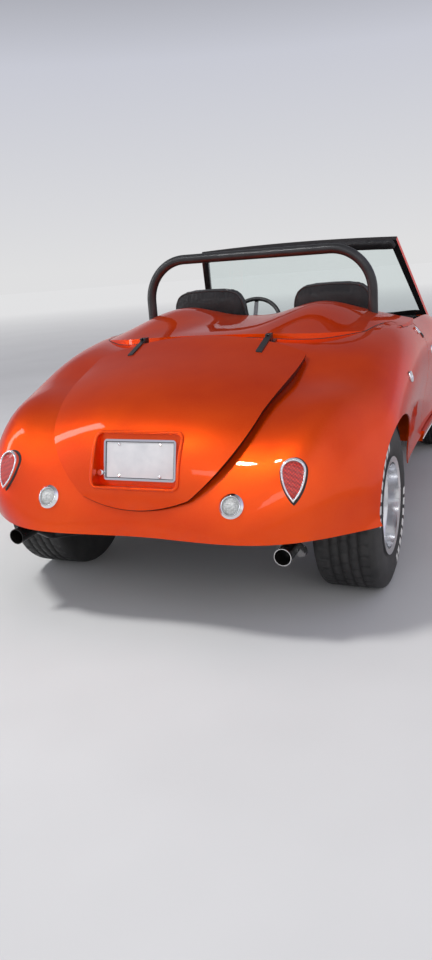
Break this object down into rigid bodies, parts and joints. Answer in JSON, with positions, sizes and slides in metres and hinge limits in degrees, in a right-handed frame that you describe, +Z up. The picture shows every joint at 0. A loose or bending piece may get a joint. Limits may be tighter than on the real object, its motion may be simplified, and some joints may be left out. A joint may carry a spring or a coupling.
{
  "type": "roadster",
  "caption": "Open two-seat roadster with a moulded body, twin headrest fairing, roll bar, domed boot lid and wide wheels.",
  "frame": {"origin": "on the ground under the middle of the car's overall length, on its centre line", "axes": "+X to the car's left, +Y to its rear, +Z up"},
  "size_m": [1.8104, 4.1247, 1.4671],
  "materials": {
    "body_paint": "deep metallic orange, mirror gloss clear coat",
    "black_satin": "satin black paint",
    "chassis_black": "worn black chassis paint",
    "chrome": "polished chrome",
    "alloy": "polished and cast aluminium",
    "tyre_rubber": "black tyre rubber",
    "clear_glass": "clear glass",
    "red_lens": "red ribbed lens",
    "clear_lens": "clear ribbed lens",
    "black_vinyl": "black grained vinyl",
    "trim_black": "black moulded trim",
    "plate_white": "blank white plate in a bright frame",
    "cast_iron": "cast iron"
  },
  "bodies": {
    "root": {"rear_body": "body_paint", "front_body": "body_paint", "headrest_fairing": "body_paint", "rockers": "body_paint", "cockpit_tub": "trim_black", "door_jambs": "body_paint", "dashboard": "black_vinyl", "steering_column": "black_satin", "seat_left": "black_vinyl", "seat_right": "black_vinyl", "seat_rails": "chassis_black", "roll_bar": "black_satin", "windscreen_frame": "black_satin", "header_pad": "black_vinyl", "windscreen_glass": "clear_glass", "tail_lamp_lenses": "red_lens", "lamp_rims": "chrome", "clear_lenses": "clear_lens", "grille": "chrome", "panel_hinges": "black_satin", "controls": "black_satin", "hinge_leaves": "black_satin", "exhaust_left": "chrome", "exhaust_right": "chrome", "chassis_frame": "chassis_black", "rear_axle": "chassis_black", "leaf_springs": "chassis_black", "front_suspension": "chassis_black", "engine_block": "cast_iron", "gearbox": "alloy", "radiator": "alloy", "fuel_tank": "chassis_black", "boot_floor": "trim_black", "wheel_housings": "trim_black", "flank_caps": "chrome"},
    "boot_lid": {"boot_lid": "body_paint", "hinge_straps": "black_satin", "number_plate": "plate_white", "boot_lock": "chrome"},
    "bonnet": {"bonnet": "body_paint"},
    "door_left": {"door_left": "body_paint"},
    "door_right": {"door_right": "body_paint"},
    "steering_wheel": {"steering_wheel": "trim_black"},
    "knuckle_left": {"knuckle_left": "cast_iron"},
    "knuckle_right": {"knuckle_right": "cast_iron"},
    "wheel_front_left": {"rim_front_left": "alloy", "tyre_front_left": "tyre_rubber"},
    "wheel_front_right": {"rim_front_right": "alloy", "tyre_front_right": "tyre_rubber"},
    "wheel_rear_left": {"rim_rear_left": "alloy", "tyre_rear_left": "tyre_rubber"},
    "wheel_rear_right": {"rim_rear_right": "alloy", "tyre_rear_right": "tyre_rubber"}
  },
  "joints": [
    {"name": "boot_lid_hinge", "type": "hinge", "parent": "root", "child": "boot_lid", "pos_m": [0, 1.25, 1.064], "axis": [1, 0, 0], "range_deg": [0, 60]},
    {"name": "bonnet_hinge", "type": "hinge", "parent": "root", "child": "bonnet", "pos_m": [0, -1.742, 0.836], "axis": [1, 0, 0], "range_deg": [0, 55]},
    {"name": "door_left_hinge", "type": "hinge", "parent": "root", "child": "door_left", "pos_m": [0.874, -0.548, 0.7], "axis": [0, 0, -1], "range_deg": [0, 65]},
    {"name": "door_right_hinge", "type": "hinge", "parent": "root", "child": "door_right", "pos_m": [-0.874, -0.548, 0.7], "axis": [0, 0, 1], "range_deg": [0, 65]},
    {"name": "steer_left", "type": "hinge", "parent": "root", "child": "knuckle_left", "pos_m": [0.59, -1.195, 0.351], "axis": [0, 0, 1], "range_deg": [-27, 27]},
    {"name": "steer_right", "type": "hinge", "parent": "root", "child": "knuckle_right", "pos_m": [-0.59, -1.195, 0.351], "axis": [0, 0, 1], "range_deg": [-27, 27]},
    {"name": "steering_wheel_turn", "type": "hinge", "parent": "root", "child": "steering_wheel", "pos_m": [0.3, -0.25, 0.978], "axis": [0, 0.9063, 0.4226], "range_deg": [-380, 380]},
    {"name": "spin_front_left", "type": "hinge", "parent": "knuckle_left", "child": "wheel_front_left", "pos_m": [0.7, -1.195, 0.325], "axis": [1, 0, 0], "continuous": true},
    {"name": "spin_front_right", "type": "hinge", "parent": "knuckle_right", "child": "wheel_front_right", "pos_m": [-0.7, -1.195, 0.325], "axis": [1, 0, 0], "continuous": true},
    {"name": "spin_rear_left", "type": "hinge", "parent": "root", "child": "wheel_rear_left", "pos_m": [0.725, 1.386, 0.352], "axis": [1, 0, 0], "continuous": true},
    {"name": "spin_rear_right", "type": "hinge", "parent": "root", "child": "wheel_rear_right", "pos_m": [-0.725, 1.386, 0.352], "axis": [1, 0, 0], "continuous": true}
  ],
  "couplings": [
    {"joint": "steer_right", "follows": "steer_left", "ratio": 1},
    {"joint": "steering_wheel_turn", "follows": "steer_left", "ratio": 14}
  ]
}
